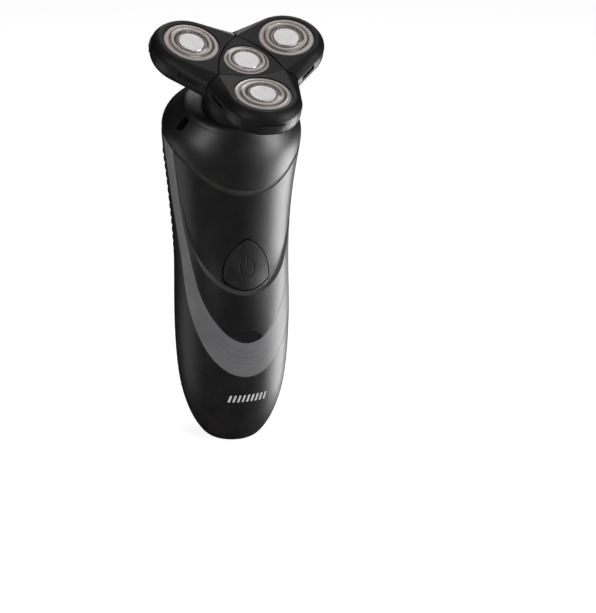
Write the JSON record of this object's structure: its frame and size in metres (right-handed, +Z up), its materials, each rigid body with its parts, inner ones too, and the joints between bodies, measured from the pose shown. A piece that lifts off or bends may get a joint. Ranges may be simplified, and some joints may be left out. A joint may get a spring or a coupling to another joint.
{
  "type": "rotary electric shaver",
  "caption": "Cordless rotary shaver: slender upright handle with a power button, and a leaning shaving head of tilting pods with turning cutters under slotted guards.",
  "frame": {"origin": "middle of the flat foot that the shaver stands on", "axes": "+Z up along the handle, -Y towards the front with the button and the lowered edge of the head, +X to the right seen from behind the front"},
  "size_m": [0.0696, 0.0779, 0.1723],
  "materials": {
    "housing": "satin moulded charcoal plastic",
    "lower_shell": "satin moulded black plastic",
    "panel": "satin black plastic",
    "trim": "warm grey trim with fine lines along its curve",
    "grip": "matt black ribbed rubber",
    "seal": "dark olive rubber",
    "button": "satin black plastic",
    "lens": "smoked clear plastic",
    "pod": "satin moulded charcoal plastic",
    "pod_under": "satin moulded black plastic",
    "tab": "satin dark grey plastic",
    "cap": "satin moulded charcoal plastic",
    "guard": "polished shaving steel",
    "cutter": "ground steel",
    "gear": "natural acetal",
    "steel": "plain steel",
    "motor": "plated steel can",
    "motor_cap": "tan plastic",
    "armature": "varnished laminations",
    "coupling": "grey acetal",
    "cell": "shrink-wrapped cell",
    "chassis": "plain grey plastic",
    "board": "green board",
    "switch": "black plastic",
    "led": "diffused green plastic",
    "inlet": "black plastic"
  },
  "bodies": {
    "handle": {"lower_housing": "lower_shell", "trim_band": "trim", "front_panel": "panel", "indicator_lens": "lens", "back_grip": "grip", "shoulder_housing": "housing", "shoulder_seal": "seal", "button_gasket": "seal", "neck_ring": "housing", "neck_seal": "seal", "motor_screws": "steel", "motor_can": "motor", "motor_end_cap": "motor_cap", "battery_cell": "cell", "chassis": "chassis", "circuit_board": "board", "tactile_switch": "switch", "indicator_led": "led", "charging_inlet": "inlet", "inlet_pins": "steel"},
    "button": {"power_button": "button"},
    "rotor": {"motor_armature": "armature", "drive_coupling": "coupling"},
    "head": {"head_base": "housing", "gear_cover": "chassis", "centre_cap": "cap", "guard_centre": "guard", "retainer_centre": "cutter", "hinge_pin_front": "steel", "hinge_pin_right": "steel", "hinge_pin_left": "steel", "hinge_spring_front": "steel", "hinge_spring_right": "steel", "hinge_spring_left": "steel"},
    "centre_drive": {"centre_gear": "gear", "cutter_centre": "cutter"},
    "pod_front": {"pod_lid_front": "pod", "pod_base_front": "pod_under", "release_tab_front": "tab", "guard_front": "guard", "retainer_front": "cutter"},
    "drive_front": {"pod_gear_front": "gear", "cutter_front": "cutter"},
    "pod_right": {"pod_lid_right": "pod", "pod_base_right": "pod_under", "release_tab_right": "tab", "guard_right": "guard", "retainer_right": "cutter"},
    "drive_right": {"pod_gear_right": "gear", "cutter_right": "cutter"},
    "pod_left": {"pod_lid_left": "pod", "pod_base_left": "pod_under", "release_tab_left": "tab", "guard_left": "guard", "retainer_left": "cutter"},
    "drive_left": {"pod_gear_left": "gear", "cutter_left": "cutter"}
  },
  "joints": [
    {"name": "button_press", "type": "slide", "parent": "handle", "child": "button", "axis": [0, 1, 0], "range_m": [0, 0.0008], "stiffness_N_per_m": 400, "springref_m": -0.002},
    {"name": "motor_spin", "type": "hinge", "parent": "handle", "child": "rotor", "pos_m": [0, -0.01092, 0.14218], "axis": [0, -0.454, 0.891], "continuous": true},
    {"name": "head_pull", "type": "slide", "parent": "handle", "child": "head", "axis": [0, -0.454, 0.891], "range_m": [0, 0.012]},
    {"name": "centre_spin", "type": "hinge", "parent": "head", "child": "centre_drive", "pos_m": [0, -0.02, 0.16], "axis": [0, -0.454, 0.891], "continuous": true},
    {"name": "tilt_front", "type": "hinge", "parent": "head", "child": "pod_front", "pos_m": [0, -0.03017, 0.14405], "axis": [1, 0, 0], "range_deg": [0, 5], "stiffness_Nm_per_rad": 0.06, "springref_deg": -11.46},
    {"name": "spin_front", "type": "hinge", "parent": "pod_front", "child": "drive_front", "pos_m": [0, -0.04017, 0.15113], "axis": [0, -0.3665, 0.9304], "continuous": true},
    {"name": "tilt_right", "type": "hinge", "parent": "head", "child": "pod_right", "pos_m": [0.01412, -0.00838, 0.15515], "axis": [-0.5, 0.7716, 0.3932], "range_deg": [0, 5], "stiffness_Nm_per_rad": 0.06, "springref_deg": -11.46},
    {"name": "spin_right", "type": "hinge", "parent": "pod_right", "child": "drive_right", "pos_m": [0.01905, -0.01077, 0.16611], "axis": [-0.083, -0.4946, 0.8651], "continuous": true},
    {"name": "tilt_left", "type": "hinge", "parent": "head", "child": "pod_left", "pos_m": [-0.01412, -0.00838, 0.15515], "axis": [-0.5, -0.7716, -0.3932], "range_deg": [0, 5], "stiffness_Nm_per_rad": 0.06, "springref_deg": -11.46},
    {"name": "spin_left", "type": "hinge", "parent": "pod_left", "child": "drive_left", "pos_m": [-0.01905, -0.01077, 0.16611], "axis": [0.083, -0.4946, 0.8651], "continuous": true}
  ],
  "couplings": [
    {"joint": "centre_spin", "follows": "motor_spin", "ratio": 1},
    {"joint": "spin_front", "follows": "motor_spin", "ratio": -1.3333},
    {"joint": "spin_right", "follows": "motor_spin", "ratio": -1.3333},
    {"joint": "spin_left", "follows": "motor_spin", "ratio": -1.3333}
  ]
}
